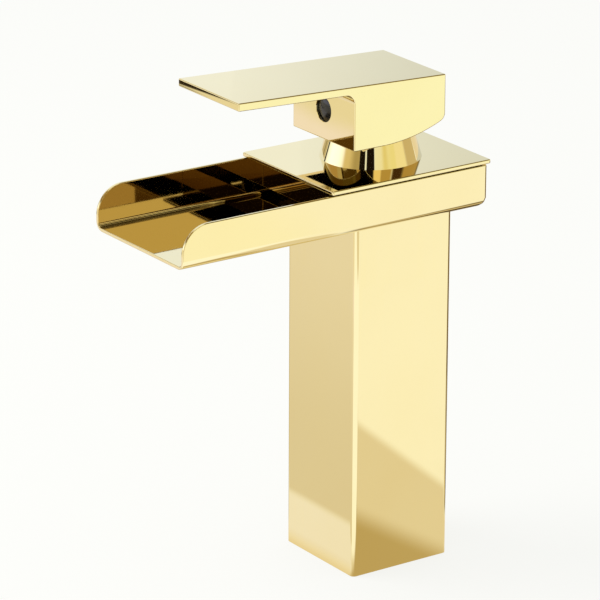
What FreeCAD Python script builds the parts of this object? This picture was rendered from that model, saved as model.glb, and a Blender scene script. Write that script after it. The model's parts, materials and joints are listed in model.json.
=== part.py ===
import FreeCAD, Part
import math
import os

# Single-lever waterfall basin tap, lengths in millimetres.
# The square column stands on the basin deck, and its axis is Z. The spout points along -Y, so a person
# at the basin looks along +Y, with hot water on the left (-X) and cold on the right (+X).
# z = 0 is the deck. Lifting the lever turns the stem about a pin along X and slides the upper ceramic disc
# forward. Swinging the lever turns the rotor about Z.

# ---- fits ----
braze_gap = 0.05        # between pieces that are brazed or pressed together
running_gap = 0.08      # between a turning piece and its seat
disc_film = 0.02        # grease film between the two ceramic discs

# ---- column ----
column_side = 41.6
column_wall = 3.3
column_height = 131.4
column_edge_radius = 1.4

# ---- base of the column ----
seal_height = 3.0
seal_width = 3.1
seal_side_gap = 0.2
base_ring_thickness = 2.5
base_ring_lip = 0.3     # the ring's hole is this much larger than the seal's
hose_room = 4.5         # from the base ring up to the inlet block

# ---- water inlets ----
inlet_spacing = 13.0    # hot to cold
inlet_setback = 2.5     # both inlets lie this far behind the column's axis
hose_thread_radius = 4.5    # tapping size of M10x1
hose_thread_depth = 10.0
stud_thread_radius = 3.4    # tapping size of M8
stud_thread_depth = 12.0
stud_forward = 9.5      # the stud lies this far in front of the column's axis
inlet_block_height = 14.0
pipe_radius = 4.0
pipe_bore = 3.0
pipe_socket_depth = 3.0

# ---- trough ----
sheet = 1.25
trough_width = 55.0
trough_reach = 96.4     # column axis to the lip
trough_tail = 31.0      # column axis to the back
trough_depth = 15.5
trough_bend = 3.5       # outside radius of the folded bottom edges
trough_inner_bend = 1.5     # inside radius of the same folds, closed up with solder
trough_back_edge = 1.2  # outside radius of the two upright back edges
lip_corner_radius = 11.0

# ---- baffle and cover plate ----
plate_thickness = 1.5
plate_side_overhang = 0.3
plate_back_overhang = 1.2
plate_front = 35.5      # column axis to the plate's front edge
plate_corner_radius = 0.8
plate_edge_radius = 0.4
shadow_gap = 0.4        # from the trough's rim to the plate
baffle_setback = 7.8    # from the plate's front edge to the baffle
baffle_thickness = 1.0
slit_height = 2.45      # the water leaves the chamber through this slit

# ---- cartridge ----
cartridge_radius = 12.5
cartridge_clearance = 0.2
cartridge_height = 25.2     # seat to shoulder
cartridge_wall = 1.6
cartridge_base_height = 4.0
cartridge_neck_radius = 9.3
cartridge_neck_wall = 1.2
cartridge_neck_height = 6.3
cartridge_roof = 2.5        # thickness of the shoulder
shoulder_above_plate = 1.7
water_hole_radius = 2.6
seal_groove_depth = 1.6
inlet_seal_radius = 4.2     # to the middle of the section
inlet_seal_section = 0.78
ring_seal_section = 0.68
ring_seal_drop = 4.0        # from the shoulder to the middle of the ring seal
window_width = 7.0
window_height = 8.0
disc_thickness = 3.0
fixed_disc_radius = 10.5
moving_disc_radius = 8.6
moving_disc_offset = 1.8    # the disc sits this far behind the axis while the tap is shut
notch_depth = 1.6
notch_land = 1.1            # sealed width between the water holes and the notch
carrier_flange = 4.0
carrier_boss_radius = 4.4
carrier_boss_height = 7.0
socket_depth = 4.2
socket_clearance = 0.25

# ---- rotor and stem ----
pin_below_top = 3.5         # pivot pin to the top of the cartridge's neck
pin_radius = 1.5
pin_clearance = 0.05
ball_arm = 8.5              # pivot pin to the ball
ball_radius = 2.5
finger_radius = 2.0
stem_side = 7.0
stem_above_pin = 21.5
stem_below_pin = 3.5
lift_angle = 25.0           # the lever's full lift
slot_side_gap = 0.1
slot_end_gap = 0.6
rotor_flange_gap = 0.2

# ---- valve body ----
pocket_floor = 13.0         # thickness under the cartridge
thread_step = 0.5           # the nut's thread is this much larger than the pocket
neck_wall = 1.7
plate_ledge = 1.1           # ledge round the neck that carries the plate
port_radius = 4.0
port_above_floor = 1.95
port_angles = (-140.0, -90.0, -40.0)
water_ring_depth = 0.9
water_ring_margin = 0.5

# ---- gland nut ----
nut_thread_length = 3.8
nut_head_height = 2.8
nut_head_across_flats = 24.0
nut_bore_gap = 0.2

# ---- collar ----
collar_base_wall = 3.1
collar_taper = 3.8          # the radius lost from the foot to the top
collar_height = 12.5
collar_lip_radius = 12.2
collar_head_room = 0.2      # above the nut
collar_nut_gap = 0.5        # beside the nut
collar_top_round = 0.5

# ---- handle ----
handle_above_plate = 9.2
handle_height = 22.55       # block's foot to the top face, on the axis
handle_wall = 2.6
handle_front_wall = 3.5
handle_roof = 4.1
handle_swing_gap = 0.78     # from the collar to the block's side walls
handle_front_gap = 0.6      # more room in front, for the swing of the lift
lever_reach = 68.0          # axis to the lever's nose
lever_thickness = 2.9
lever_rise = 2.3            # slope of the top face in degrees
lever_root_fillet = 3.5
belly_start = 8.0           # the flat foot ends this far in front of the axis
belly_rise = 5.8            # the foot curves up this much towards the back
handle_back_round = 3.0
handle_edge_round = 0.6
handle_rear_edge_round = 0.9
boss_side = 11.6
boss_above_foot = 6.0
stem_fit = 0.05
screw_above_foot = 10.8
tunnel_radius = 6.3
plug_radius = 4.4
plug_fit = 0.1
plug_recess = 0.9       # block's front to the plug's rim
plug_depth = 4.2
plug_dome = 0.95
plug_hole_depth = 5.4
plug_hole_bevel = 0.3
screw_radius = 2.45
screw_length = 9.5
screw_key_radius = 1.45     # corner radius of the hexagon socket
screw_key_depth = 3.0

# ---- levels worked out from the sizes above ----
block_side = column_side - 2 * column_wall - 2 * braze_gap
inlet_block_z = seal_height + base_ring_thickness + hose_room
floor_z = column_height + sheet
rim_z = column_height + trough_depth
plate_z = rim_z + shadow_gap
plate_top_z = plate_z + plate_thickness
shoulder_z = plate_top_z + shoulder_above_plate
neck_top_z = shoulder_z + nut_thread_length
seat_z = shoulder_z - cartridge_height
valve_z = seat_z - pocket_floor
fixed_disc_z = seat_z + cartridge_base_height
moving_disc_z = fixed_disc_z + disc_thickness + disc_film
carrier_z = moving_disc_z + disc_thickness
rotor_z = carrier_z + carrier_flange + rotor_flange_gap
rotor_flange_top_z = shoulder_z - cartridge_roof - rotor_flange_gap
cartridge_top_z = shoulder_z + cartridge_neck_height
pin_z = cartridge_top_z - pin_below_top
ball_z = pin_z - ball_arm
port_z = floor_z + port_above_floor + port_radius
foot_z = plate_top_z + handle_above_plate
roof_z = foot_z + handle_height - handle_roof
screw_z = foot_z + screw_above_foot
stem_top_z = pin_z + stem_above_pin

# ---- radii and distances worked out from the sizes above ----
pocket_radius = cartridge_radius + cartridge_clearance
nut_thread_radius = pocket_radius + thread_step
neck_radius = nut_thread_radius + neck_wall
valve_radius = neck_radius + plate_ledge
cartridge_bore = cartridge_radius - cartridge_wall
cartridge_neck_bore = cartridge_neck_radius - cartridge_neck_wall
collar_bore = neck_radius + running_gap
collar_radius = collar_bore + collar_base_wall
collar_slope = collar_taper / collar_height
cavity_half = collar_radius - collar_slope * handle_above_plate + handle_swing_gap
handle_half = cavity_half + handle_wall
cavity_front = cavity_half + handle_front_gap
handle_front = cavity_front + handle_front_wall
handle_back = cavity_half + handle_wall
disc_travel = ball_arm * math.radians(lift_angle)
plate_half = trough_width / 2 + plate_side_overhang
plate_back = trough_tail + plate_back_overhang
inlet_xs = {"hot": -inlet_spacing / 2, "cold": inlet_spacing / 2}


def vec(x, y, z):
    return FreeCAD.Vector(x, y, z)


def box(x0, x1, y0, y1, z0, z1):
    return Part.makeBox(x1 - x0, y1 - y0, z1 - z0, vec(x0, y0, z0))


def bar(half, z0, z1):
    """A square bar round the axis."""
    return box(-half, half, -half, half, z0, z1)


def rod(radius, z0, z1, x=0.0, y=0.0):
    return Part.makeCylinder(radius, z1 - z0, vec(x, y, z0))


def rod_along_y(radius, y0, y1, x, z):
    return Part.makeCylinder(radius, y1 - y0, vec(x, y0, z), vec(0, 1, 0))


def rod_along_x(radius, x0, x1, y, z):
    return Part.makeCylinder(radius, x1 - x0, vec(x0, y, z), vec(1, 0, 0))


def tube(outer, inner, z0, z1, x=0.0, y=0.0):
    return rod(outer, z0, z1, x, y).cut(rod(inner, z0, z1, x, y))


def ring(radius, section, x, y, z):
    return Part.makeTorus(radius, section, vec(x, y, z), vec(0, 0, 1))


def hexagon(corner_radius, start, along):
    """A hexagonal prism from the point start, along the vector along."""
    points = []
    for i in range(7):
        angle = math.radians(60 * i + 30)
        points.append(vec(corner_radius * math.cos(angle), corner_radius * math.sin(angle), 0))
    prism = Part.Face(Part.makePolygon(points)).extrude(vec(0, 0, along.Length))
    turn = FreeCAD.Rotation(vec(0, 0, 1), along)
    prism.Placement = FreeCAD.Placement(start, turn)
    return prism


def edges_where(shape, test):
    """The straight edges whose two ends and direction pass the test."""
    found = []
    for edge in shape.Edges:
        if isinstance(edge.Curve, Part.Line) and test(edge.Vertexes[0].Point, edge.Vertexes[-1].Point):
            found.append(edge)
    return found


def near(a, b):
    return abs(a - b) < 1e-6


def upright(p, q):
    return near(p.x, q.x) and near(p.y, q.y)


def spin_profile(points):
    """A solid turned about Z from a closed outline of (radius, z) points."""
    wire = Part.makePolygon([vec(r, 0, z) for r, z in points + points[:1]])
    return Part.Face(wire).revolve(vec(0, 0, 0), vec(0, 0, 1), 360)


# ---------------------------------------------------------------- column and its base

def make_column():
    outer = bar(column_side / 2, 0, column_height)
    outer = outer.makeFillet(column_edge_radius, edges_where(outer, upright))
    return outer.cut(bar(column_side / 2 - column_wall, -1, column_height + 1))


def make_base_seal():
    outer = block_side / 2 - seal_side_gap
    return tube(outer, outer - seal_width, 0, seal_height)


def make_base_ring():
    hole = block_side / 2 - seal_side_gap - seal_width + base_ring_lip
    z1 = seal_height + base_ring_thickness
    return bar(block_side / 2, seal_height, z1).cut(rod(hole, seal_height - 1, z1 + 1))


def make_inlet_block():
    z0, z1 = inlet_block_z, inlet_block_z + inlet_block_height
    solid = bar(block_side / 2, z0, z1)
    for x in inlet_xs.values():
        solid = solid.cut(rod(hose_thread_radius, z0, z0 + hose_thread_depth, x, inlet_setback))
        solid = solid.cut(rod(pipe_bore, z0, z1, x, inlet_setback))
        solid = solid.cut(rod(pipe_radius + braze_gap, z1 - pipe_socket_depth, z1, x, inlet_setback))
    return solid.cut(rod(stud_thread_radius, z0, z0 + stud_thread_depth, 0, -stud_forward))


def make_supply_pipe(side):
    z0 = inlet_block_z + inlet_block_height - pipe_socket_depth
    z1 = valve_z + pipe_socket_depth
    return tube(pipe_radius, pipe_bore, z0, z1, inlet_xs[side], inlet_setback)


# ---------------------------------------------------------------- trough, baffle and plate

def trough_shell(inset, front, top, bend):
    """The trough's outline, inset by one sheet for its inside."""
    half = trough_width / 2 - inset
    back = trough_tail - inset
    low = column_height + inset
    solid = box(-half, half, -front, back, low, top)

    def folded(p, q):
        side = near(p.z, low) and near(q.z, low) and near(p.x, q.x)
        rear = near(p.z, low) and near(q.z, low) and near(p.y, back) and near(q.y, back)
        return side or rear

    def back_edge(p, q):
        return upright(p, q) and near(p.y, back)

    solid = solid.makeFillet(bend, edges_where(solid, folded))
    edge_radius = trough_back_edge - inset
    if edge_radius > 0:
        solid = solid.makeFillet(edge_radius, edges_where(solid, back_edge))
    return solid


def make_trough():
    solid = trough_shell(0, trough_reach, rim_z, trough_bend)
    solid = solid.cut(trough_shell(sheet, trough_reach + 1, rim_z + 1, trough_inner_bend))
    solid = solid.cut(rod(valve_radius + braze_gap, column_height - 1, floor_z + 1))
    radius = lip_corner_radius
    y, z = -trough_reach + radius, rim_z - radius
    half = trough_width / 2 + 1
    corner = box(-half, half, -trough_reach - 1, y, z, rim_z + 1)
    corner = corner.cut(rod_along_x(radius, -half, half, y, z))
    return solid.cut(corner)


def make_baffle():
    half = trough_width / 2 - sheet - braze_gap
    y = -plate_front + baffle_setback
    return box(-half, half, y, y + baffle_thickness, floor_z + slit_height, plate_z)


def make_cover_plate():
    solid = box(-plate_half, plate_half, -plate_front, plate_back, plate_z, plate_top_z)
    solid = solid.makeFillet(plate_corner_radius, edges_where(solid, upright))
    rim = [e for e in solid.Edges if near(e.Vertexes[0].Z, e.Vertexes[-1].Z)]
    solid = solid.makeFillet(plate_edge_radius, rim)
    return solid.cut(rod(neck_radius + running_gap, plate_z - 1, plate_top_z + 1))


# ---------------------------------------------------------------- valve body, nut and collar

def make_valve_body():
    solid = bar(block_side / 2, valve_z, column_height)
    solid = solid.fuse(rod(valve_radius, column_height, plate_z))
    solid = solid.fuse(rod(neck_radius, plate_z, neck_top_z)).removeSplitter()
    solid = solid.cut(rod(pocket_radius, seat_z, neck_top_z))
    solid = solid.cut(rod(nut_thread_radius, shoulder_z, neck_top_z))
    for x in inlet_xs.values():
        solid = solid.cut(rod(pipe_radius + braze_gap, valve_z, valve_z + pipe_socket_depth, x, inlet_setback))
        solid = solid.cut(rod(water_hole_radius, valve_z, seat_z, x, inlet_setback))
    reach = port_radius + water_ring_margin
    solid = solid.cut(rod(pocket_radius + water_ring_depth, port_z - reach, port_z + reach))
    for angle in port_angles:
        along = vec(math.cos(math.radians(angle)), math.sin(math.radians(angle)), 0)
        solid = solid.cut(Part.makeCylinder(port_radius, valve_radius + 1, vec(0, 0, port_z), along))
    return solid


def make_gland_nut():
    z1 = neck_top_z + nut_head_height
    corner_radius = nut_head_across_flats / math.sqrt(3)
    solid = rod(nut_thread_radius - running_gap, shoulder_z, neck_top_z)
    solid = solid.fuse(hexagon(corner_radius, vec(0, 0, neck_top_z), vec(0, 0, nut_head_height)))
    solid = solid.removeSplitter()
    return solid.cut(rod(cartridge_neck_radius + nut_bore_gap, shoulder_z, z1))


def make_collar():
    top = plate_top_z + collar_height
    top_radius = collar_radius - collar_taper
    head_z = neck_top_z + nut_head_height + collar_head_room
    nut_room = nut_head_across_flats / math.sqrt(3) + collar_nut_gap
    solid = spin_profile([
        (collar_bore, plate_top_z),
        (collar_radius, plate_top_z),
        (top_radius, top),
        (collar_lip_radius, top),
        (collar_lip_radius, head_z),
        (nut_room, head_z),
        (nut_room, neck_top_z + collar_head_room),
        (collar_bore, neck_top_z + collar_head_room),
    ])
    crown = [e for e in solid.Edges if near(e.BoundBox.ZMin, top) and near(e.BoundBox.XMax, top_radius)]
    return solid.makeFillet(collar_top_round, crown)


# ---------------------------------------------------------------- cartridge

def make_cartridge_base():
    z1 = seat_z + cartridge_base_height
    solid = rod(cartridge_radius, seat_z, z1)
    for x in inlet_xs.values():
        solid = solid.cut(rod(water_hole_radius, seat_z, z1, x, inlet_setback))
        outer = inlet_seal_radius + inlet_seal_section + cartridge_clearance
        inner = inlet_seal_radius - inlet_seal_section - cartridge_clearance
        solid = solid.cut(tube(outer, inner, seat_z, seat_z + seal_groove_depth, x, inlet_setback))
    return solid


def make_inlet_seals():
    z = seat_z + inlet_seal_section
    rings = [ring(inlet_seal_radius, inlet_seal_section, x, inlet_setback, z) for x in inlet_xs.values()]
    return Part.makeCompound(rings)


def make_cartridge_housing():
    z0 = fixed_disc_z
    solid = rod(cartridge_radius, z0, shoulder_z)
    solid = solid.fuse(rod(cartridge_neck_radius, shoulder_z, cartridge_top_z)).removeSplitter()
    solid = solid.cut(rod(cartridge_bore, z0, shoulder_z - cartridge_roof))
    solid = solid.cut(rod(cartridge_neck_bore, z0, cartridge_top_z))
    reach = cartridge_radius + 1
    half = window_width / 2
    top = moving_disc_z + window_height
    solid = solid.cut(box(-reach, reach, -half, half, moving_disc_z, top))
    solid = solid.cut(box(-half, half, -reach, reach, moving_disc_z, top))
    z = shoulder_z - ring_seal_drop
    floor = cartridge_radius + cartridge_clearance - 2 * ring_seal_section
    groove = tube(reach, floor - disc_film, z - ring_seal_section, z + ring_seal_section)
    return solid.cut(groove)


def make_cartridge_seal():
    radius = cartridge_radius + cartridge_clearance - ring_seal_section - disc_film / 2
    return ring(radius, ring_seal_section - disc_film / 2, 0, 0, shoulder_z - ring_seal_drop)


def make_fixed_disc():
    z1 = fixed_disc_z + disc_thickness
    solid = rod(fixed_disc_radius, fixed_disc_z, z1)
    for x in inlet_xs.values():
        solid = solid.cut(rod(water_hole_radius, fixed_disc_z, z1, x, inlet_setback))
    return solid


def make_moving_disc():
    z1 = moving_disc_z + disc_thickness
    solid = rod(moving_disc_radius, moving_disc_z, z1, 0, moving_disc_offset)
    reach = moving_disc_radius + moving_disc_offset + 1
    land = inlet_setback + water_hole_radius + notch_land
    return solid.cut(box(-reach, reach, land, reach, moving_disc_z, moving_disc_z + notch_depth))


def make_disc_carrier():
    flange_z = carrier_z + carrier_flange
    top = flange_z + carrier_boss_height
    solid = rod(moving_disc_radius, carrier_z, flange_z, 0, moving_disc_offset)
    solid = solid.fuse(rod(carrier_boss_radius, flange_z, top)).removeSplitter()
    return solid.cut(rod(ball_radius + socket_clearance, top - socket_depth, top))


def make_rotor():
    solid = rod(cartridge_bore - running_gap, rotor_z, rotor_flange_top_z)
    solid = solid.fuse(rod(cartridge_neck_bore - running_gap, rotor_flange_top_z, cartridge_top_z))
    solid = solid.removeSplitter()
    boss_half = carrier_boss_radius + slot_side_gap
    boss_top = carrier_z + carrier_flange + carrier_boss_height + slot_end_gap
    front = -(carrier_boss_radius + disc_travel + slot_side_gap)
    solid = solid.cut(box(-boss_half, boss_half, front, boss_half, rotor_z, boss_top))
    lift = math.radians(lift_angle)
    half = stem_side / 2
    back = (half + pin_below_top * math.sin(lift)) / math.cos(lift) + slot_end_gap
    fore = half * math.cos(lift) + stem_below_pin * math.sin(lift) + slot_end_gap
    side = half + slot_side_gap
    solid = solid.cut(box(-side, side, -fore, back, rotor_z, cartridge_top_z))
    ball_front = ball_arm * math.sin(lift) + ball_radius + slot_side_gap
    ball_top = pin_z - ball_arm * math.cos(lift) + ball_radius + slot_end_gap
    solid = solid.cut(box(-side, side, -ball_front, back, rotor_z, ball_top))
    return solid.cut(rod_along_x(pin_radius, -cartridge_bore, cartridge_bore, 0, pin_z))


def make_rotor_pin():
    reach = cartridge_neck_bore - 2 * slot_end_gap
    return rod_along_x(pin_radius - disc_film, -reach, reach, 0, pin_z)


# ---------------------------------------------------------------- stem and handle

def make_stem():
    half = stem_side / 2
    solid = bar(half, pin_z - stem_below_pin, stem_top_z)
    solid = solid.fuse(rod(finger_radius, ball_z, pin_z))
    solid = solid.fuse(Part.makeSphere(ball_radius, vec(0, 0, ball_z))).removeSplitter()
    return solid.cut(rod_along_x(pin_radius + pin_clearance, -half, half, 0, pin_z))


def top_face_z(y):
    """Height of the handle's sloping top face."""
    return foot_z + handle_height - y * math.tan(math.radians(lever_rise))


def handle_outline():
    """The handle's side view, as a closed wire at x = -handle_half."""
    slope = math.radians(lever_rise)
    drop = lever_thickness / math.cos(slope)
    fillet = lever_root_fillet
    x = -handle_half

    def at(y, z):
        return vec(x, y, z)

    # the fillet between the lever and the block's front turns through 90 degrees less the slope
    root_turn = math.pi / 2 + slope
    tangent = fillet / math.tan(root_turn / 2)
    corner = at(-handle_front, top_face_z(-handle_front) - drop)
    to_nose = vec(0, -math.cos(slope), math.sin(slope))
    on_lever = corner + to_nose * tangent
    on_block = corner + vec(0, 0, -tangent)
    centre = on_block + vec(0, -fillet, 0)
    bisector = (corner - centre).normalize()
    # the foot is flat in front and an arc behind, tangent to the flat
    run = handle_back + belly_start
    belly_radius = (run * run + belly_rise * belly_rise) / (2 * belly_rise)
    half_turn = math.asin(run / belly_radius) / 2
    belly_mid = at(-belly_start + belly_radius * math.sin(half_turn),
                   foot_z + belly_radius * (1 - math.cos(half_turn)))
    nose_top = at(-lever_reach, top_face_z(-lever_reach))
    nose_foot = at(-lever_reach, top_face_z(-lever_reach) - drop)
    back_top = at(handle_back, top_face_z(handle_back))
    back_foot = at(handle_back, foot_z + belly_rise)
    belly = at(-belly_start, foot_z)
    front_foot = at(-handle_front, foot_z)
    return Part.Wire([
        Part.makeLine(back_top, nose_top),
        Part.makeLine(nose_top, nose_foot),
        Part.makeLine(nose_foot, on_lever),
        Part.Arc(on_lever, centre + bisector * fillet, on_block).toShape(),
        Part.makeLine(on_block, front_foot),
        Part.makeLine(front_foot, belly),
        Part.Arc(belly, belly_mid, back_foot).toShape(),
        Part.makeLine(back_foot, back_top),
    ])


def make_handle():
    solid = Part.Face(handle_outline()).extrude(vec(2 * handle_half, 0, 0))

    def back_foot(p, q):
        return near(p.y, handle_back) and near(q.y, handle_back) and near(p.z, foot_z + belly_rise)

    solid = solid.makeFillet(handle_back_round, edges_where(solid, lambda p, q: back_foot(p, q) and near(p.z, q.z)))

    def front_corner(p, q):
        return upright(p, q) and near(abs(p.x), handle_half) and p.y < 0

    def rear_corner(p, q):
        return upright(p, q) and near(abs(p.x), handle_half) and p.y > 0

    solid = solid.makeFillet(handle_edge_round, edges_where(solid, front_corner))
    solid = solid.makeFillet(handle_rear_edge_round, edges_where(solid, rear_corner))
    cavity = box(-cavity_half, cavity_half, -cavity_front, cavity_half, foot_z - 1, roof_z)
    solid = solid.cut(cavity)
    half = boss_side / 2
    boss = box(-half, half, -half, half, foot_z + boss_above_foot, roof_z + 1)
    tunnel = rod_along_y(tunnel_radius, -cavity_front - 1, 0, 0, screw_z)
    solid = solid.fuse(boss).fuse(tunnel).removeSplitter()
    hole = stem_side / 2 + stem_fit
    solid = solid.cut(box(-hole, hole, -hole, hole, foot_z, stem_top_z + stem_fit))
    # round hole for the plug, with a bevelled mouth, and the screw's hole behind it
    radius = plug_radius + plug_fit
    solid = solid.cut(rod_along_y(radius, -handle_front - 1, -handle_front + plug_hole_depth, 0, screw_z))
    bevel = Part.makeCone(radius + plug_hole_bevel, radius, plug_hole_bevel,
                          vec(0, -handle_front, screw_z), vec(0, 1, 0))
    solid = solid.cut(bevel)
    return solid.cut(rod_along_y(screw_radius + stem_fit, -handle_front, 0, 0, screw_z))


def make_set_screw():
    y1 = -stem_side / 2 - disc_film
    y0 = y1 - screw_length
    solid = rod_along_y(screw_radius, y0, y1, 0, screw_z)
    return solid.cut(hexagon(screw_key_radius, vec(0, y0, screw_z), vec(0, screw_key_depth, 0)))


def make_index_plug():
    """A plug with a domed face. Its rim sits inside the hole and its crown is flush with the block."""
    y0 = -handle_front + plug_recess
    solid = rod_along_y(plug_radius, y0, y0 + plug_depth, 0, screw_z)
    dome_radius = (plug_radius * plug_radius + plug_dome * plug_dome) / (2 * plug_dome)
    ball = Part.makeSphere(dome_radius, vec(0, y0 - plug_dome + dome_radius, screw_z))
    cap = rod_along_y(plug_radius, y0 - plug_dome, y0, 0, screw_z).common(ball)
    return solid.fuse(cap).removeSplitter()


# ---------------------------------------------------------------- write every piece

pieces = {
    "column": make_column(),
    "base_seal": make_base_seal(),
    "base_ring": make_base_ring(),
    "inlet_block": make_inlet_block(),
    "supply_pipe_hot": make_supply_pipe("hot"),
    "supply_pipe_cold": make_supply_pipe("cold"),
    "valve_body": make_valve_body(),
    "trough": make_trough(),
    "baffle": make_baffle(),
    "cover_plate": make_cover_plate(),
    "gland_nut": make_gland_nut(),
    "collar": make_collar(),
    "cartridge_base": make_cartridge_base(),
    "inlet_seals": make_inlet_seals(),
    "cartridge_housing": make_cartridge_housing(),
    "cartridge_seal": make_cartridge_seal(),
    "fixed_disc": make_fixed_disc(),
    "moving_disc": make_moving_disc(),
    "disc_carrier": make_disc_carrier(),
    "rotor": make_rotor(),
    "rotor_pin": make_rotor_pin(),
    "stem": make_stem(),
    "handle": make_handle(),
    "set_screw": make_set_screw(),
    "index_plug": make_index_plug(),
}

os.makedirs("parts", exist_ok=True)
for name, shape in pieces.items():
    shape.exportStep("parts/" + name + ".step")
    print(name, len(shape.Solids), "solid", shape.isValid(), round(shape.Volume), "mm3")
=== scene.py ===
import json
import math

import bmesh
import bpy
from mathutils import Matrix, Vector

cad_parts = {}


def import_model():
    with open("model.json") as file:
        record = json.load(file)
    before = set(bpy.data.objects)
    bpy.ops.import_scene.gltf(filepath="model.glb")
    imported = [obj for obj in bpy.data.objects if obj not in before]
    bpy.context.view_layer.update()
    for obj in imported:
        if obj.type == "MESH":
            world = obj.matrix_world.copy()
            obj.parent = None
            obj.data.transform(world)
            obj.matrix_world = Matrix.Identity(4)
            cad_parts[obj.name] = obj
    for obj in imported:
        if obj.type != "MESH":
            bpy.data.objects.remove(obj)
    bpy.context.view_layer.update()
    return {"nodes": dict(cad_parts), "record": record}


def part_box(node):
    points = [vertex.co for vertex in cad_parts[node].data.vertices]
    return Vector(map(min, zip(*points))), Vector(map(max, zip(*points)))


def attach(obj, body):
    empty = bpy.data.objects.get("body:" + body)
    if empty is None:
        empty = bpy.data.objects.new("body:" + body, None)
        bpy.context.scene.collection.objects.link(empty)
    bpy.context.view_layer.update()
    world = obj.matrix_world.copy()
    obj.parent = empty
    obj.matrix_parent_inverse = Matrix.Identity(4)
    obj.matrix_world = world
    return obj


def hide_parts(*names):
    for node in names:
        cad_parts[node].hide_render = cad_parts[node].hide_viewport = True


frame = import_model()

# A single-lever waterfall basin tap in polished gold. The spout points along -Y and z = 0 is the deck.
# Lengths in the dictionaries are in millimetres, and Blender works in metres.

mm = 0.001
samePlace = 0.00002     # places closer than this count as one, in metres
weldGap = 0.000002      # corners closer than this are joined
flatTurn = 0.002        # faces that turn by less are flat, in radians
parallel = 0.999        # the cosine beyond which an edge runs along an axis


camera = {
    "azimuth": 55.338,      # degrees round from the spout towards +X
    "elevation": 19.351,
    "roll": 0.264,
    "distance": 1422.628,
    "target": (0.0, -29.729, 100.566),
    "lens": 243.0605,
    "sensor": 36.0,
    "clip": (0.01, 50.0),   # in metres
}


def placeCamera():
    turn = math.radians(camera["azimuth"])
    lift = math.radians(camera["elevation"])
    roll = math.radians(camera["roll"])
    level = math.cos(lift)
    back = Vector((math.sin(turn) * level, -math.cos(turn) * level, math.sin(lift)))
    right = Vector((0, 0, 1)).cross(back).normalized()
    up = back.cross(right)
    tiltedRight = right * math.cos(roll) + up * math.sin(roll)
    tiltedUp = up * math.cos(roll) - right * math.sin(roll)
    place = (Vector(camera["target"]) + back * camera["distance"]) * mm
    bpy.ops.object.select_all(action="DESELECT")
    bpy.ops.object.camera_add(location=place)
    view = bpy.context.object
    view.name = "photoCamera"
    view.rotation_euler = Matrix((tiltedRight, tiltedUp, back)).transposed().to_euler()
    view.data.lens = camera["lens"]
    view.data.sensor_width = camera["sensor"]
    view.data.clip_start, view.data.clip_end = camera["clip"]
    bpy.context.scene.camera = view


placeCamera()
bpy.context.scene.view_settings.view_transform = "Standard"
print("camera placed")


class Wire:
    # a node's output socket, on which sums add Math nodes
    def __init__(self, kit, socket):
        self.kit = kit
        self.socket = socket

    def math(self, operation, *values):
        return self.kit.node("ShaderNodeMath", {"operation": operation}, dict(enumerate(values)))

    def __add__(self, other):
        return self.math("ADD", self, other)

    def __sub__(self, other):
        return self.math("SUBTRACT", self, other)

    def __rsub__(self, other):
        return self.math("SUBTRACT", other, self)

    def __mul__(self, other):
        return self.math("MULTIPLY", self, other)

    __radd__ = __add__
    __rmul__ = __mul__

    def step(self, start, end):
        # 0 before start, 1 after end, smooth between
        return self.kit.node("ShaderNodeMapRange", {"interpolation_type": "SMOOTHSTEP"},
                             {"Value": self, "From Min": start, "From Max": end})

    def band(self, start, end, soft):
        return self.step(start - soft, start + soft) * (1 - self.step(end - soft, end + soft))


class Kit:
    # builds one node tree
    def __init__(self, tree):
        self.tree = tree
        tree.nodes.clear()

    def node(self, kind, settings=None, inputs=None, output=0):
        made = self.tree.nodes.new(kind)
        for name, value in (settings or {}).items():
            setattr(made, name, value)
        for name, value in (inputs or {}).items():
            if isinstance(name, int):
                socket = made.inputs[name]
            else:
                socket = next(s for s in made.inputs if name in (s.identifier, s.name))
            if isinstance(value, Wire):
                self.tree.links.new(value.socket, socket)
            elif isinstance(value, tuple) and socket.type == "RGBA":
                socket.default_value = (*value, 1.0)
            else:
                socket.default_value = value
        return Wire(self, made.outputs[output]) if len(made.outputs) else None

    def mix(self, amount, first, second):
        return self.node("ShaderNodeMix", {"data_type": "RGBA", "clamp_factor": True},
                         {"Factor_Float": amount, "A_Color": first, "B_Color": second}, "Result")

    def noise(self, place, scale, detail=2.0, roughness=0.5):
        inputs = {"Vector": place, "Scale": scale, "Detail": detail, "Roughness": roughness}
        return self.node("ShaderNodeTexNoise", None, inputs, "Fac")

    def stretched(self, place, scale):
        return self.node("ShaderNodeMapping", None, {"Vector": place, "Scale": scale})

    def bump(self, height, depth, strength):
        return self.node("ShaderNodeBump", None, {"Height": height, "Distance": depth, "Strength": strength})

    def objectPlace(self):
        return self.node("ShaderNodeTexCoord", None, None, "Object")

    def split(self, vector, axes="XYZ"):
        return [self.node("ShaderNodeSeparateXYZ", None, {"Vector": vector}, axis) for axis in axes]

    def fromAxis(self, place):
        # the distance from the column's middle line
        flat = self.stretched(place, (1.0, 1.0, 0.0))
        return self.node("ShaderNodeVectorMath", {"operation": "LENGTH"}, {0: flat}, "Value")

    def surface(self, inputs):
        return self.node("ShaderNodeBsdfPrincipled", None, inputs, "BSDF")


def newMaterial(name, build):
    made = bpy.data.materials.new(name)
    made.use_nodes = True
    kit = Kit(made.node_tree)
    kit.node("ShaderNodeOutputMaterial", None, {"Surface": build(kit)})
    return made


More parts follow.
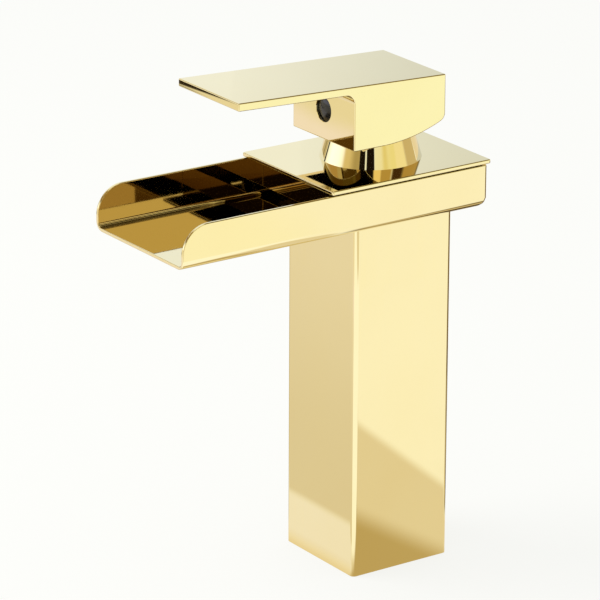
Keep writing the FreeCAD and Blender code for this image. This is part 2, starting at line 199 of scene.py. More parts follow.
gold = {
    "colour": (0.955, 0.825, 0.425),
    "cloudColour": (0.940, 0.800, 0.395),
    "shadedWallColour": (0.800, 0.560, 0.190),    # painted shade: inside the trough the walls are painted darker gold
    # painted shade on the trough's floor, a little darker than the gold outside
    "floorColour": (0.900, 0.800, 0.440),
    "hollowShadeColour": (0.110, 0.075, 0.035),    # painted shade: inside the handle's hollow the gold is painted dark, and the casting isn't polished
    "cloudScale": 18.0,
    "cloudRange": (0.35, 0.75),
    "polishScale": 260.0,
    "polishStretch": (1.0, 1.0, 0.35),
    "polishRange": (0.45, 0.8),
    "roughness": 0.03,
    "haze": 0.03,
    "castRoughness": 0.45,
    "coatRoughness": 0.03,
    "coatIor": 1.7,
    "waveScale": 34.0,
    "waveDepth": 0.00003,
    "waveStrength": 0.5,
    "edge": 0.1,            # over which one finish passes into the next
    "floorFade": 1.5,       # the same between the trough's floor and walls
}

# the trough's inside and the handle's hollow, where the gold is painted darker as shade and the finish changes
channel = {"halfWidth": 26.32, "floor": 132.8, "foot": 132.5, "top": 147.4}
hollow = {
    "halfWidth": 16.15,
    "front": 16.75,
    "foot": 158.2,
    "roof": 176.6,
    "collarRadius": 15.4,   # the collar's top reaches into the hollow and is polished
    "collarTop": 161.4,
}


def goldFinish(kit):
    place = kit.objectPlace()
    x, y, z = kit.split(place)
    edge = gold["edge"] * mm

    def past(wire, limit, fade=edge):
        return wire.step(limit * mm, limit * mm + fade)

    width = x.math("ABSOLUTE", x)
    depth = y.math("ABSOLUTE", y)
    cloud = kit.noise(place, gold["cloudScale"], detail=3.0)
    fine = kit.stretched(place, gold["polishStretch"])
    polish = kit.noise(fine, gold["polishScale"], detail=4.0, roughness=0.6)
    wave = kit.noise(place, gold["waveScale"], detail=1.0)
    # painted shade inside the trough, darker on the walls than on the floor
    channelShade = 1 - past(width, channel["halfWidth"])
    channelShade = channelShade * z.band(channel["foot"] * mm, channel["top"] * mm, edge)
    onFloor = 1 - past(z, channel["floor"], gold["floorFade"] * mm)
    # the handle's hollow: painted shade in its colour, and rougher gold without coat
    inHollow = (1 - past(width, hollow["halfWidth"])) * (1 - past(depth, hollow["front"]))
    inHollow = inHollow * z.band(hollow["foot"] * mm, hollow["roof"] * mm, edge)
    besideCollar = past(kit.fromAxis(place), hollow["collarRadius"])
    inHollow = inHollow * besideCollar.math("MAXIMUM", besideCollar, past(z, hollow["collarTop"]))
    colour = kit.mix(cloud.step(*gold["cloudRange"]), gold["colour"], gold["cloudColour"])
    colour = kit.mix(channelShade, colour, kit.mix(onFloor, gold["shadedWallColour"], gold["floorColour"]))
    haze = polish.step(*gold["polishRange"]) * gold["haze"]
    return kit.surface({
        "Base Color": kit.mix(inHollow, colour, gold["hollowShadeColour"]),
        "Metallic": 1.0,
        "Roughness": gold["roughness"] + haze + inHollow * gold["castRoughness"],
        "Coat Weight": 1 - inHollow,
        "Coat Roughness": gold["coatRoughness"],
        "Coat IOR": gold["coatIor"],
        "Normal": kit.bump(wave, gold["waveDepth"], gold["waveStrength"]),
    })


brass = {
    "colour": (0.74, 0.58, 0.30),
    "tarnishColour": (0.56, 0.39, 0.18),
    "tarnishScale": 45.0,
    "tarnishRange": (0.35, 0.75),
    "roughness": 0.24,
    "tarnishRoughness": 0.18,
    "lineScale": 1600.0,
    "lineDepth": 0.00005,
    "lineStrength": 0.6,
}


def brassFinish(kit):
    place = kit.objectPlace()
    z, = kit.split(place, "Z")
    tarnish = kit.noise(place, brass["tarnishScale"], detail=5.0, roughness=0.6)
    # the marks of the lathe lie in rings round the column's middle line
    rings = {"X": kit.fromAxis(place) * brass["lineScale"], "Y": z * brass["lineScale"]}
    lines = kit.noise(kit.node("ShaderNodeCombineXYZ", None, rings), 1.0)
    return kit.surface({
        "Base Color": kit.mix(tarnish.step(*brass["tarnishRange"]), brass["colour"], brass["tarnishColour"]),
        "Metallic": 1.0,
        "Roughness": brass["roughness"] + tarnish * brass["tarnishRoughness"],
        "Normal": kit.bump(lines, brass["lineDepth"], brass["lineStrength"]),
    })


# the plainer finishes, with the scales of their noises: one mixes two colours, and one gives roughness and relief
finishValues = {
    "steel": {
        "brushing": (900.0, 60.0, 900.0),
        "colours": ((0.60, 0.60, 0.61), (0.74, 0.74, 0.75)),
        "roughness": (0.22, 0.2),           # the least, and what the noise adds
        "relief": (0.00004, 0.5),           # depth in metres, and strength
    },
    "black_rubber": {
        "grain": 900.0,
        "dust": 70.0,
        "dustRange": (0.5, 0.85),
        "colours": ((0.018, 0.018, 0.019), (0.045, 0.043, 0.040)),
        "roughness": (0.62, 0.2),
        "relief": (0.00005, 0.6),
    },
    "grey_nylon": {
        "speckle": 1300.0,
        "flow": (40.0, 40.0, 140.0),
        "colours": ((0.46, 0.47, 0.48), (0.58, 0.59, 0.60)),
        "roughness": (0.38, 0.2),
        "relief": (0.00003, 0.5),
    },
    "white_ceramic": {
        "grain": 2400.0,
        "shade": 120.0,
        "colours": ((0.80, 0.78, 0.74), (0.88, 0.87, 0.83)),
        "roughness": (0.16, 0.12),
        "relief": (0.00001, 0.4),
    },
    "black_plastic": {
        "bloom": 350.0,
        "bloomRange": (0.4, 0.8),
        "flow": 180.0,
        "colours": ((0.014, 0.015, 0.016), (0.026, 0.028, 0.028)),
        "roughness": (0.14, 0.08),
        "relief": (0.00001, 0.3),
    },
}


def plainSurface(kit, values, tint, grain, relief, metallic=0.0):
    least, added = values["roughness"]
    return kit.surface({
        "Base Color": kit.mix(tint, *values["colours"]),
        "Metallic": metallic,
        "Roughness": least + grain * added,
        "Normal": kit.bump(relief, *values["relief"]),
    })


def steelFinish(kit):
    values = finishValues["steel"]
    brushed = kit.noise(kit.stretched(kit.objectPlace(), values["brushing"]), 1.0, detail=3.0)
    return plainSurface(kit, values, brushed, brushed, brushed, metallic=1.0)


def rubberFinish(kit):
    values = finishValues["black_rubber"]
    place = kit.objectPlace()
    grain = kit.noise(place, values["grain"], detail=3.0)
    dust = kit.noise(place, values["dust"], detail=4.0)
    return plainSurface(kit, values, dust.step(*values["dustRange"]), grain, grain)


def nylonFinish(kit):
    values = finishValues["grey_nylon"]
    place = kit.objectPlace()
    speckle = kit.noise(place, values["speckle"])
    flow = kit.noise(kit.stretched(place, values["flow"]), 1.0, detail=3.0)
    return plainSurface(kit, values, flow, speckle, speckle)


def ceramicFinish(kit):
    values = finishValues["white_ceramic"]
    place = kit.objectPlace()
    grain = kit.noise(place, values["grain"])
    shade = kit.noise(place, values["shade"])
    return plainSurface(kit, values, shade, grain, grain)


def plugFinish(kit):
    values = finishValues["black_plastic"]
    place = kit.objectPlace()
    bloom = kit.noise(place, values["bloom"], detail=3.0)
    flow = kit.noise(place, values["flow"])
    return plainSurface(kit, values, flow, bloom.step(*values["bloomRange"]), bloom)


finishes = {slotName: newMaterial(slotName, build) for slotName, build in {
    "gold": goldFinish,
    "plain_brass": brassFinish,
    "steel": steelFinish,
    "black_rubber": rubberFinish,
    "grey_nylon": nylonFinish,
    "white_ceramic": ceramicFinish,
    "black_plastic": plugFinish,
}.items()}
print("finishes made")


def makeActive(piece):
    if bpy.context.mode != "OBJECT":
        bpy.ops.object.mode_set(mode="OBJECT")
    bpy.ops.object.select_all(action="DESELECT")
    piece.select_set(True)
    bpy.context.view_layer.objects.active = piece


def settle(name):
    # names the new primitive and puts its place and size into its mesh
    piece = bpy.context.object
    piece.name = name
    piece.data.name = name
    bpy.ops.object.transform_apply(location=True, rotation=True, scale=True)
    return piece


def addBlock(name, low, high):
    bpy.ops.object.select_all(action="DESELECT")
    low, high = Vector(low), Vector(high)
    bpy.ops.mesh.primitive_cube_add(size=1, location=(low + high) / 2, scale=high - low)
    return settle(name)


def addRod(name, radius, start, end, sides=128, endRadius=None):
    # a rod from start to end, or a cone where endRadius differs
    bpy.ops.object.select_all(action="DESELECT")
    start, end = Vector(start), Vector(end)
    turn = (end - start).to_track_quat("Z", "Y").to_euler()
    endRadius = radius if endRadius is None else endRadius
    bpy.ops.mesh.primitive_cone_add(vertices=sides, radius1=radius, radius2=endRadius,
                                    depth=(end - start).length, location=(start + end) / 2, rotation=turn)
    return settle(name)


def steps(start, end, count):
    # count even steps, without the start
    return [start + (end - start) * step / count for step in range(1, count + 1)]


def addPrism(name, outline, half):
    # a prism from -half to half along X: one edge is drawn round the outline, then both ends are filled
    bpy.ops.object.select_all(action="DESELECT")
    (startY, height), (endY, height) = outline[:2]
    bpy.ops.mesh.primitive_plane_add(size=1, location=(0, (startY + endY) / 2, height))
    bpy.context.object.scale = (half * 2, abs(endY - startY), 1)
    piece = settle(name)
    pick(piece, "EDGE", lambda edge: along(edge, 0) and near(middle(edge).y, endY))
    place = outline[1]
    for corner in outline[2:] + outline[:1]:
        bpy.ops.mesh.extrude_region_move(
            TRANSFORM_OT_translate={"value": (0, corner[0] - place[0], corner[1] - place[1])})
        place = corner
    bpy.ops.mesh.select_all(action="SELECT")
    bpy.ops.mesh.remove_doubles(threshold=weldGap)
    for side in (-1, 1):
        pick(piece, "EDGE", lambda edge: edge.is_boundary and middle(edge).x * side > 0)
        bpy.ops.mesh.edge_face_add()
    bpy.ops.mesh.select_all(action="SELECT")
    bpy.ops.mesh.normals_make_consistent(inside=False)
    makeActive(piece)
    return piece


def pick(piece, kind, test):
    # leaves the piece in edit mode with only the parts that pass the test selected
    if bpy.context.mode != "EDIT_MESH":
        makeActive(piece)
        bpy.ops.object.mode_set(mode="EDIT")
    bpy.ops.mesh.select_mode(type=kind)
    bpy.ops.mesh.select_all(action="DESELECT")
    mesh = bmesh.from_edit_mesh(piece.data)
    parts = {"VERT": mesh.verts, "EDGE": mesh.edges, "FACE": mesh.faces}[kind]
    for part in parts:
        if test(part):
            part.select_set(True)
    mesh.select_flush_mode()
    bmesh.update_edit_mesh(piece.data)


def middle(edge):
    return (edge.verts[0].co + edge.verts[1].co) / 2


def along(edge, axis):
    span = edge.verts[1].co - edge.verts[0].co
    return abs(span[axis]) > parallel * span.length


def near(a, b):
    return abs(a - b) < samePlace


def bevelEdges(piece, test, width, segments):
    pick(piece, "EDGE", test)
    bpy.ops.mesh.bevel(offset=width, offset_type="OFFSET", segments=segments, affect="EDGES",
                       clamp_overlap=False)


def applyModifier(piece, kind, **settings):
    makeActive(piece)
    modifier = piece.modifiers.new(kind.title(), kind)
    for name, value in settings.items():
        setattr(modifier, name, value)
    bpy.ops.object.modifier_apply(modifier=modifier.name)


def combine(piece, other, operation):
    applyModifier(piece, "BOOLEAN", object=other, operation=operation, solver="EXACT")
    bpy.data.objects.remove(other)


def roundEdges(piece, width, segments=3, angle=32.0, clamp=True):
    applyModifier(piece, "BEVEL", width=width, segments=segments, limit_method="ANGLE",
                  angle_limit=math.radians(angle), use_clamp_overlap=clamp, harden_normals=False)


def mergeFlats(piece):
    # joins the parts of each flat face
    pick(piece, "FACE", lambda face: True)
    bpy.ops.mesh.dissolve_limited(angle_limit=flatTurn)
    makeActive(piece)


def finishPiece(piece, body, node, slot, smoothAngle=42.0):
    makeActive(piece)
    bpy.ops.object.mode_set(mode="EDIT")
    bpy.ops.mesh.select_all(action="SELECT")
    bpy.ops.mesh.remove_doubles(threshold=weldGap)
    bpy.ops.object.mode_set(mode="OBJECT")
    bpy.ops.object.shade_smooth_by_angle(angle=math.radians(smoothAngle))
    applyModifier(piece, "WEIGHTED_NORMAL", keep_sharp=True, weight=100)
    piece.data.materials.clear()
    piece.data.materials.append(finishes[slot])
    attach(piece, body)
    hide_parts(node)
    print("made", piece.name, len(piece.data.polygons), "faces")


column = {
    "edgeRadius": 1.7,
    "wall": 3.3,
    "footRound": 0.15,
    "cutReach": 1.0,        # how far the cutter of the inside passes the ends
}


def makeColumn():
    low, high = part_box("column")
    piece = addBlock("columnShell", low, high)
    bevelEdges(piece, lambda edge: along(edge, 2), column["edgeRadius"] * mm, segments=8)
    wall = Vector((column["wall"], column["wall"], -column["cutReach"])) * mm
    makeActive(piece)
    combine(piece, addBlock("columnInside", low + wall, high - wall), "DIFFERENCE")
    roundEdges(piece, column["footRound"] * mm, segments=2, angle=60.0)
    finishPiece(piece, "tap_body", "column", "gold")


makeColumn()


trough = {
    "sheet": 1.25,
    "bend": 3.5,            # outside radius of the folded edges
    "innerBend": 1.5,
    "backEdge": 1.2,        # outside radius of the two upright back edges
    "innerBackShare": 0.1,  # of the inner bend, on those edges' inside
    "bendCuts": 12,
    "lipCorner": 10.4,
    "lipCuts": 28,
    "rimRound": 0.35,
    "bodyHole": 16.05,
    "cutReach": 2.0,
    "holeReach": 10.0,
}


def makeTrough():
    low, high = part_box("trough")
    sheet = trough["sheet"] * mm
    piece = addBlock("troughShell", low, high)
    bendFolds(piece, low, high, trough["bend"], trough["backEdge"] / trough["bend"])
    lip = Vector((0, low.y, high.z))
    bevelEdges(piece,
               lambda edge: along(edge, 0) and near(middle(edge).z, lip.z) and near(middle(edge).y, lip.y),
               trough["lipCorner"] * mm, trough["lipCuts"])
    makeActive(piece)
    reach = trough["cutReach"] * mm
    innerLow = low + Vector((sheet, -reach, sheet))
    innerHigh = high + Vector((-sheet, -sheet, reach))
    inside = addBlock("channel", innerLow, innerHigh)
    bendFolds(inside, innerLow, innerHigh, trough["innerBend"], trough["innerBackShare"])
    combine(piece, inside, "DIFFERENCE")
    reach = trough["holeReach"] * mm
    hole = addRod("bodyHole", trough["bodyHole"] * mm, (0, 0, low.z - reach), (0, 0, low.z + reach))
    combine(piece, hole, "DIFFERENCE")
    mergeFlats(piece)
    roundEdges(piece, trough["rimRound"] * mm, angle=50.0, clamp=False)
    finishPiece(piece, "tap_body", "trough", "gold")


def bendFolds(piece, low, high, radius, uprightShare):
    # the folds: the floor's sides and back, and the two upright back edges
    pick(piece, "EDGE", lambda edge: near(middle(edge).z, low.z) and not near(middle(edge).y, low.y))
    bpy.ops.transform.edge_bevelweight(value=1.0)
    pick(piece, "EDGE", lambda edge: along(edge, 2) and near(middle(edge).y, high.y))
    bpy.ops.transform.edge_bevelweight(value=uprightShare)
    applyModifier(piece, "BEVEL", width=radius * mm, segments=trough["bendCuts"], limit_method="WEIGHT",
                  use_clamp_overlap=False)


makeTrough()


baffle = {
    "edgeRound": 0.2,
}

coverPlate = {
    "cornerRadius": 0.8,
    "edgeRadius": 0.4,
    "neckHole": 14.98,
    "holeReach": 10.0,
}


def makeBaffle():
    piece = addBlock("baffleSheet", *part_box("baffle"))
    roundEdges(piece, baffle["edgeRound"] * mm)
    finishPiece(piece, "tap_body", "baffle", "gold")


def makeCoverPlate():
    low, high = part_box("cover_plate")
    piece = addBlock("coverPlate", low, high)
    bevelEdges(piece, lambda edge: along(edge, 2), coverPlate["cornerRadius"] * mm, segments=5)
    bevelEdges(piece, lambda edge: near(edge.verts[0].co.z, edge.verts[1].co.z), coverPlate["edgeRadius"] * mm,
               segments=4)
    makeActive(piece)
    reach = coverPlate["holeReach"] * mm
    hole = addRod("neckHole", coverPlate["neckHole"] * mm, (0, 0, low.z - reach), (0, 0, high.z + reach),
                  sides=160)
    combine(piece, hole, "DIFFERENCE")
    finishPiece(piece, "tap_body", "cover_plate", "gold")


makeBaffle()
makeCoverPlate()


collar = {
    "topRadius": 14.28,
    "topRound": 0.5,
    # the inside, from the lip down to the foot: radius and height below the top
    "inside": [(12.2, 0.0), (12.2, 4.0), (14.36, 4.0), (14.36, 6.8), (14.98, 6.8), (14.98, 12.5)],
    "sides": 192,
    "smoothAngle": 35.0,
}


def makeCollar():
    low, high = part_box("collar")
    bpy.ops.object.select_all(action="DESELECT")
    bpy.ops.mesh.primitive_cone_add(vertices=collar["sides"], radius1=high.x, radius2=collar["topRadius"] * mm,
                                    depth=high.z - low.z, end_fill_type="NOTHING",
                                    location=(0, 0, (low.z + high.z) / 2))
    piece = settle("collarRing")
    pick(piece, "EDGE", lambda edge: near(edge.verts[0].co.z, high.z) and near(edge.verts[1].co.z, high.z))
    radius, height = collar["topRadius"], 0.0
    for nextRadius, nextHeight in collar["inside"]:
        bpy.ops.mesh.extrude_region_move(TRANSFORM_OT_translate={"value": (0, 0, (height - nextHeight) * mm)})
        scale = nextRadius / radius
        bpy.ops.transform.resize(value=(scale, scale, 1.0), center_override=(0, 0, high.z - nextHeight * mm))
        radius, height = nextRadius, nextHeight
    pick(piece, "EDGE", lambda edge: edge.is_boundary)
    bpy.ops.mesh.bridge_edge_loops()
    bpy.ops.mesh.select_all(action="SELECT")
    bpy.ops.mesh.normals_make_consistent(inside=False)
    topEdge = collar["topRadius"] * mm
    bevelEdges(piece, lambda edge: all(near(corner.co.z, high.z) and near(corner.co.xy.length, topEdge)
                                       for corner in edge.verts), collar["topRound"] * mm, segments=5)
    finishPiece(piece, "tap_body", "collar", "gold", collar["smoothAngle"])


makeCollar()


lever = {
    "blockFront": -20.163,
    "slope": 2.3,           # degrees, rising towards the nose
    "thickness": 2.9,
    "rootRadius": 3.5,
    "bellyStart": -8.0,
    "bellyRise": 5.8,
    "bellyCuts": 24,
    "backRound": 3.0,
    "backCuts": 10,
    "rootCuts": 12,
    "edgeRound": 0.45,
    "edgeCuts": 4,
    "cavityHalf": 16.063,
    "cavityFront": -16.663,
    "roof": 176.45,
    "bossHalf": 5.8,
    "bossFoot": 164.0,
    "tunnelRadius": 6.3,
    "tunnelEnd": -2.0,
    "screwHeight": 168.8,
    "screwHole": 2.5,
    "stemHole": 3.55,
    "stemTop": 174.85,
    "plugHole": 4.5,
    "plugDepth": 5.4,
    "plugBevel": 0.12,
    "cutReach": 1.0,        # how far cutters and joined parts pass the faces
    "footReach": 2.0,       # the same for the hollow's foot
}


def makeLever():
    low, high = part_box("handle")
    slope = math.radians(lever["slope"])
    front = lever["blockFront"] * mm
    drop = lever["thickness"] * mm / math.cos(slope)

    def topHeight(y):
        return high.z - (y - low.y) * math.tan(slope)

    # the side's outline: flat foot, belly, round to the back, top, nose, and the round under the lever's root
    start, run, rise = lever["bellyStart"] * mm, high.y - lever["bellyStart"] * mm, lever["bellyRise"] * mm
    belly = (run * run + rise * rise) / (2 * rise)
    back = lever["backRound"] * mm
    fullTurn = math.asin((run - back) / (belly - back))
    backHeight = low.z + belly - (belly - back) * math.cos(fullTurn)
    root = lever["rootRadius"] * mm
    rootHeight = topHeight(front - root) - drop - root / math.cos(slope)
    outline = [(front, low.z), (start, low.z)]
    for turn in steps(0.0, fullTurn, lever["bellyCuts"]):
        outline.append((start + belly * math.sin(turn), low.z + belly * (1 - math.cos(turn))))
    for turn in steps(fullTurn, math.pi / 2, lever["backCuts"]):
        outline.append((high.y - back + back * math.sin(turn), backHeight - back * math.cos(turn)))
    outline += [(high.y, topHeight(high.y)), (low.y, high.z), (low.y, high.z - drop)]
    outline.append((front - root + root * math.sin(slope), rootHeight + root * math.cos(slope)))
    for turn in steps(slope, math.pi / 2, lever["rootCuts"]):
        outline.append((front - root + root * math.sin(turn), rootHeight + root * math.cos(turn)))
    piece = addPrism("leverHandle", outline, high.x)
    roundEdges(piece, lever["edgeRound"] * mm, lever["edgeCuts"], clamp=False)

    # the hollow, the boss that holds the stem, and the tunnel of the screw
    reach = lever["cutReach"] * mm
    half, roof = lever["cavityHalf"] * mm, lever["roof"] * mm
    inside, foot = lever["cavityFront"] * mm, low.z - lever["footReach"] * mm
    boss, bossFoot = lever["bossHalf"] * mm, lever["bossFoot"] * mm
    hole, stemTop = lever["stemHole"] * mm, lever["stemTop"] * mm
    screw, tunnelEnd = lever["screwHeight"] * mm, lever["tunnelEnd"] * mm
    plugRadius, mouth = lever["plugHole"] * mm, lever["plugBevel"] * mm

    def screwLineRod(name, radius, start, end, sides, endRadius=None):
        return addRod(name, radius, (0, start, screw), (0, end, screw), sides, endRadius)

    combine(piece, addBlock("cavity", (-half, inside, foot), (half, half, roof)), "DIFFERENCE")
    combine(piece, addBlock("boss", (-boss, -boss, bossFoot), (boss, boss, roof + reach)), "UNION")
    combine(piece, screwLineRod("tunnel", lever["tunnelRadius"] * mm, inside - reach, tunnelEnd, 64), "UNION")
    combine(piece, addBlock("stemHole", (-hole, -hole, low.z), (hole, hole, stemTop)), "DIFFERENCE")
    combine(piece, screwLineRod("plugHole", plugRadius, front - reach, front + lever["plugDepth"] * mm, 96),
            "DIFFERENCE")
    combine(piece, screwLineRod("plugMouth", plugRadius + mouth * 2, front - mouth, front + mouth, 96,
                                plugRadius), "DIFFERENCE")
    combine(piece, screwLineRod("screwHole", lever["screwHole"] * mm, front + reach, 0, 48), "DIFFERENCE")
    mergeFlats(piece)
    finishPiece(piece, "lever", "handle", "gold")


makeLever()


plug = {
    "radius": 4.4,
    "rimRecess": 0.9,       # the rim lies this far inside the block's front
    "dome": 0.95,
    "rings": 9,
    "sides": 96,
    "smoothAngle": 35.0,
}


def makePlug():
    low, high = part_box("index_plug")
    radius = plug["radius"] * mm
    centre = (low.z + high.z) / 2
    rim = (lever["blockFront"] + plug["rimRecess"]) * mm
    piece = addRod("indexPlug", radius, (0, high.y, centre), (0, rim, centre), plug["sides"])
    pick(piece, "FACE", lambda face: face.normal.y < -0.99)
    dome = plug["dome"] * mm
    ball = (radius * radius + dome * dome) / (2 * dome)
    fullTurn = math.asin(radius / ball)
    wide, rise = radius, 0.0
    for ring in range(plug["rings"] - 1, 0, -1):
        turn = fullTurn * ring / plug["rings"]
        nextWide, nextRise = ball * math.sin(turn), dome - ball * (1 - math.cos(turn))
        bpy.ops.mesh.inset(thickness=wide - nextWide, depth=nextRise - rise, use_even_offset=True)
        wide, rise = nextWide, nextRise
    makeActive(piece)
    finishPiece(piece, "lever", "index_plug", "black_plastic", plug["smoothAngle"])


makePlug()


slotOfNode = {part["node"]: part["material_slot"] for part in frame["record"]["subparts"]}
for nodeName, node in frame["nodes"].items():
    for materialSlot in node.material_slots:
        materialSlot.material = finishes[slotOfNode[nodeName]]
print("inner parts finished")


studio = {
    "white": (0.985, 0.990, 0.960),
    "room": (0.91, 0.94, 0.94),
    "fill": 0.75,
    "bounceFade": (1.5, 4.5),   # painted shade: mirror images of mirror images are painted darker
    "bounceLoss": 0.9,
    "floorColour": (0.9, 0.9, 0.88),
    "floorSize": 16.0,
    "floorDrop": 0.0001,
    "shadow": 0.16,             # share of the floor that takes light and shadow
    "lampPower": 9.0,
    "lampSize": 0.9,
    "lampPlace": (-0.5, -0.7, 1.1),
    "lampBack": (-0.5, -0.7, 1.0),
}


def seenByEye(kit):
    # 1 for camera, glossy and transmission rays, 1 for glossy rays, and the brightness that painted shade leaves
    # after several mirrors
    direct, glossy, through = [kit.node("ShaderNodeLightPath", None, None, name)
                               for name in ("Is Camera Ray", "Is Glossy Ray", "Is Transmission Ray")]
    bounces = kit.node("ShaderNodeLightPath", None, None, "Glossy Depth")
    # painted shade: the brightness kept falls to a tenth as the mirrors add up
    bounceShading = 1 - bounces.step(*studio["bounceFade"]) * studio["bounceLoss"]
    return direct.math("MINIMUM", direct + glossy + through, 1.0), glossy, bounceShading


# Painted reflections: the floor as the polished faces see it is a bright sheet with painted shade, painted dark
# patches and a painted highlight on it, and with the tap's own soft shade painted near its foot.
# Each edge is where a fade starts and ends, in metres, and each strip is its start, end and softness.
floorEdges = {
    "right": (0.015, 0.022),
    "shadeBack": (0.045, 0.052),
    "deepBack": (0.014, 0.032),
    "deepFront": (-0.030, -0.020),
    "front": (-0.052, -0.046),
    "frontFade": (-0.24, -0.07),
    "frontMiddle": (-0.31, -0.26),
    "frontEnd": (-0.345, -0.320),
    "touching": (-0.030, -0.020),
    "foldRight": (0.03, 0.10),
    "foldLeft": (-0.20, -0.17),
    "foldLight": (-0.05, -0.02),
    "behindRight": (-0.012, 0.008),
    "behindFront": (-0.03, 0.01),
    "besideRight": (-0.05, -0.03),
    "besideFront": (-0.016, -0.002),
    "besideBack": (0.06, 0.09),
    "far": (-0.535, -0.515),
    "farther": (-0.505, -0.485),
    "facingBack": (-0.065, -0.045),
    "facingRight": (0.33, 0.36),
    "warmBack": (0.045, 0.105),
    "warmRight": (0.24, 0.34),
    "rightEnd": (0.40, 0.44),
}
floorStrips = {
    "band": (-0.049, -0.025, 0.003),
    "fold": (0.067, 0.20, 0.007),
    "foldLine": (-0.035, 0.022, 0.015),
    "behind": (0.06, 0.62, 0.01),
    "far": (-0.45, -0.39, 0.01),
    "farther": (-0.385, -0.325, 0.01),
}
# how far the slanting edges run along one axis for each metre along the other
floorSlants = {
    "shade": 0.141,
    "deep": -0.133,
    "behindRight": 0.84,
    "behindFront": -0.4,
    "beside": 0.35,
    "facing": 0.69,
    "warm": 0.3,
}
# the painted floor's colours: painted shade, painted dark reflections and one painted highlight
paintedFloorColours = {
    "sheet": (1.03, 1.03, 1.02),
    "warmSheet": (1.03, 1.02, 0.90),
    "rightEnd": (1.03, 1.08, 0.98),
    "shade": (0.80, 0.72, 0.58),
    "deep": (0.49, 0.36, 0.14),
    "band": (0.93, 0.90, 0.91),
    # a painted highlight, lighter than the sheet
    "facing": (1.08, 1.10, 1.15),
    "frontFar": (0.84, 0.78, 0.70),
    "frontNear": (0.755, 0.68, 0.55),
    "frontMiddle": (0.93, 0.85, 0.90),
    "frontEnd": (0.85, 0.78, 0.61),
    # painted shade where the tap stands, and beside and behind it
    "touching": (0.80, 0.66, 0.42),
    "beside": (0.55, 0.45, 0.25),
    # a painted dark reflection, near black
    "far": (0.03, 0.02, 0.01),
    "behind": (0.20, 0.14, 0.06),
    # painted shade and a painted dark line, seen in the trough's folds
    "foldDark": (0.22, 0.15, 0.06),
    "foldLight": (0.70, 0.58, 0.36),
    "foldLine": (0.06, 0.035, 0.01),
}
deepShare = 0.85
touchingShare = 0.8


def floorFinish(kit):
    x, y = kit.split(kit.objectPlace(), "XY")
    seen, glossy, bounceShading = seenByEye(kit)

    def past(wire, edge):
        return wire.step(*floorEdges[edge])

    def before(wire, edge):
        return 1 - wire.step(*floorEdges[edge])

    def strip(wire, name):
        return wire.band(*floorStrips[name])

    def slanted(wire, other, name):
        return wire - other * floorSlants[name]

    right = past(x, "right")
    shade = right * before(slanted(y, x, "shade"), "shadeBack")
    deep = right * before(slanted(y, x, "deep"), "deepBack") * past(y, "deepFront")
    front = (1 - right) * before(y, "front")
    frontColour = kit.mix(past(y, "frontFade"), paintedFloorColours["frontFar"], paintedFloorColours["frontNear"])
    band = (1 - right) * strip(y, "band")
    touching = (1 - right) * past(y, "touching")
    fold = before(x, "foldRight") * past(x, "foldLeft") * strip(y, "fold")
    foldColour = kit.mix(past(x, "foldLight"), paintedFloorColours["foldDark"], paintedFloorColours["foldLight"])
    behind = before(slanted(x, y, "behindRight"), "behindRight") * strip(y, "behind")
    behind = behind * past(slanted(x, y, "behindFront"), "behindFront")
    beside = before(x, "besideRight") * past(slanted(y, x, "beside"), "besideFront") * before(y, "besideBack")
    far = before(x, "far") * strip(y, "far")
    farther = before(x, "farther") * strip(y, "farther")
    facing = right * before(slanted(y, x, "facing"), "facingBack") * before(x, "facingRight")
    warm = past(x, "warmRight") * before(slanted(y, x, "warm"), "warmBack")
    # later zones lie over earlier ones
    base = paintedFloorColours["sheet"]
    for share, colour in (
        (warm, paintedFloorColours["warmSheet"]),
        (past(x, "rightEnd"), paintedFloorColours["rightEnd"]),
        (shade, paintedFloorColours["shade"]),
        (deep * deepShare, paintedFloorColours["deep"]),
        (band, paintedFloorColours["band"]),
        (facing, paintedFloorColours["facing"]),
        (front, frontColour),
        ((1 - right) * before(y, "frontMiddle"), paintedFloorColours["frontMiddle"]),
        ((1 - right) * before(y, "frontEnd"), paintedFloorColours["frontEnd"]),
        (touching * touchingShare, paintedFloorColours["touching"]),
        (beside, paintedFloorColours["beside"]),
        (far.math("MAXIMUM", far, farther), paintedFloorColours["far"]),
        (behind, paintedFloorColours["behind"]),
        (fold, foldColour),
        (fold * strip(x, "foldLine"), paintedFloorColours["foldLine"]),
    ):
        base = kit.mix(share, base, colour)
    # camera rays see plain white, and glossy rays see the painted reflections
    sheet = kit.mix(bounceShading, (0.0, 0.0, 0.0), kit.mix(glossy, studio["white"], base))
    lit = kit.node("ShaderNodeBsdfDiffuse", None, {"Color": studio["floorColour"]}, "BSDF")
    glow = kit.node("ShaderNodeEmission", None, {"Color": sheet}, "Emission")
    return kit.node("ShaderNodeMixShader", None,
                    {"Fac": seen * (1 - studio["shadow"] * (1 - glossy)), 1: lit, 2: glow})
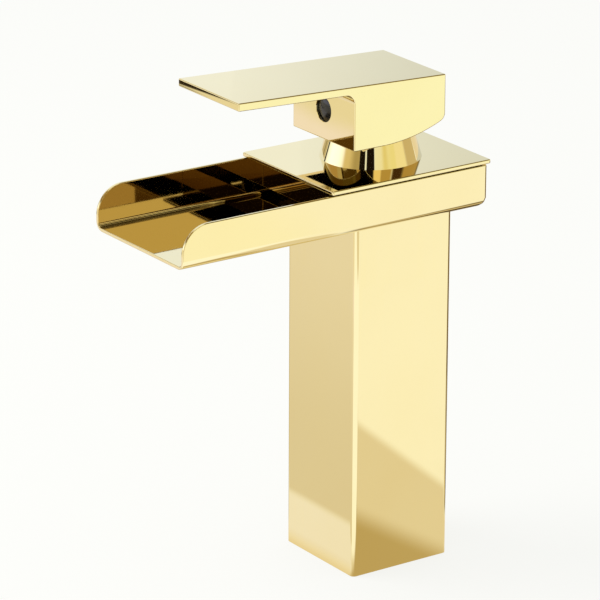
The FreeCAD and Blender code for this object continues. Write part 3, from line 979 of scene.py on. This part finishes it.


# Painted reflections round the tap, as the polished faces see them, in degrees: azimuth from the camera's side,
# positive towards +Y, then height above the horizon, softness and colour. Gold-tinted patches are painted
# reflections of the tap's own parts, dark ones painted shade, and one brighter than white a painted highlight.
# Later patches lie over earlier ones.
paintedRoomReflections = [
    ((120, 178.5), (-9, 64), 2.5, (0.69, 0.72, 0.71)),
    # gold-tinted patches: painted reflections of the tap's own parts
    ((9, 88), (-9, 16), 3, (0.88, 0.80, 0.42)),
    ((29, 40), (-9, 20), 5, (0.80, 0.70, 0.33)),
    ((60, 88), (-9, 14), 3, (0.93, 0.84, 0.54)),
    ((88, 126), (-9, 14), 4, (0.62, 0.50, 0.28)),
    ((-66, -24), (-9, 20), 4, (0.72, 0.58, 0.30)),
    ((-44, -20), (-9, 20), 10, (0.38, 0.29, 0.12)),
    # a painted highlight, brighter than white
    ((-112, -70), (-9, 14), 12, (1.5, 1.5, 1.7)),
    # from here mostly dark patches: painted shade in the reflections
    ((-118, 52), (24, 64), 3, (0.06, 0.03, 0.015)),
    ((7, 32), (32, 66), 4, (0.95, 0.78, 0.42)),
    ((30, 60), (32, 66), 4, (0.52, 0.37, 0.13)),
    ((-135, -52), (30, 62), 6, (0.46, 0.31, 0.12)),
    ((-60, -24), (32, 62), 4, (0.42, 0.28, 0.10)),
    ((52, 100), (16, 26), 2, (0.68, 0.60, 0.33)),
    ((62, 168), (22, 68), 3, (0.24, 0.18, 0.08)),
    ((64, 92), (30, 60), 4, (0.06, 0.03, 0.01)),
    ((96, 150), (22, 44), 3, (0.48, 0.33, 0.11)),
    ((-142, -100), (13, 25), 3, (0.24, 0.13, 0.07)),
    ((-142, -100), (13, 17.8), 0.6, (0.80, 0.74, 0.60)),
    ((-26, -13), (14.4, 18.8), 0.8, (0.010, 0.006, 0.003)),
    ((-9.5, 8.5), (14.4, 20.0), 0.8, (0.010, 0.006, 0.003)),
    ((-30, 8.5), (44, 60), 3, (0.010, 0.006, 0.003)),
    ((-124, -119), (-9, 10), 1, (0.03, 0.02, 0.01)),
]


def buildWorld():
    world = bpy.data.worlds.new("studio")
    world.use_nodes = True
    bpy.context.scene.world = world
    kit = Kit(world.node_tree)
    x, y, z = kit.split(kit.node("ShaderNodeTexCoord", None, None, "Generated"))
    seen, glossy, bounceShading = seenByEye(kit)
    turn = math.radians(90.0 - camera["azimuth"])
    ahead = x * math.cos(turn) - y * math.sin(turn)
    aside = x * math.sin(turn) + y * math.cos(turn)
    azimuth = aside.math("ARCTAN2", aside, ahead) * math.degrees(1)
    height = z.math("ARCSINE", z) * math.degrees(1)
    room = studio["room"]
    # the painted reflections, which only glossy rays see
    for (start, end), (low, high), soft, colour in paintedRoomReflections:
        room = kit.mix(azimuth.band(start, end, soft) * height.band(low, high, soft), room, colour)
    look = kit.mix(bounceShading, (0.0, 0.0, 0.0), kit.mix(glossy, studio["white"], room))
    fill = kit.mix(seen, (studio["fill"],) * 3, look)
    glow = kit.node("ShaderNodeBackground", None, {"Color": fill})
    kit.node("ShaderNodeOutputWorld", None, {"Surface": glow})


def buildStage():
    bpy.ops.object.select_all(action="DESELECT")
    bpy.ops.mesh.primitive_plane_add(size=studio["floorSize"], location=(0, 0, -studio["floorDrop"]))
    floor = settle("floor")
    floor.data.materials.append(newMaterial("paleFloor", floorFinish))
    bpy.ops.object.light_add(type="AREA", location=studio["lampPlace"])
    lamp = bpy.context.object
    lamp.name = "softLamp"
    lamp.data.shape = "DISK"
    lamp.data.size = studio["lampSize"]
    lamp.data.energy = studio["lampPower"]
    lamp.visible_glossy = False
    lamp.rotation_euler = Vector(studio["lampBack"]).to_track_quat("Z", "Y").to_euler()


buildWorld()
buildStage()
print("studio built")
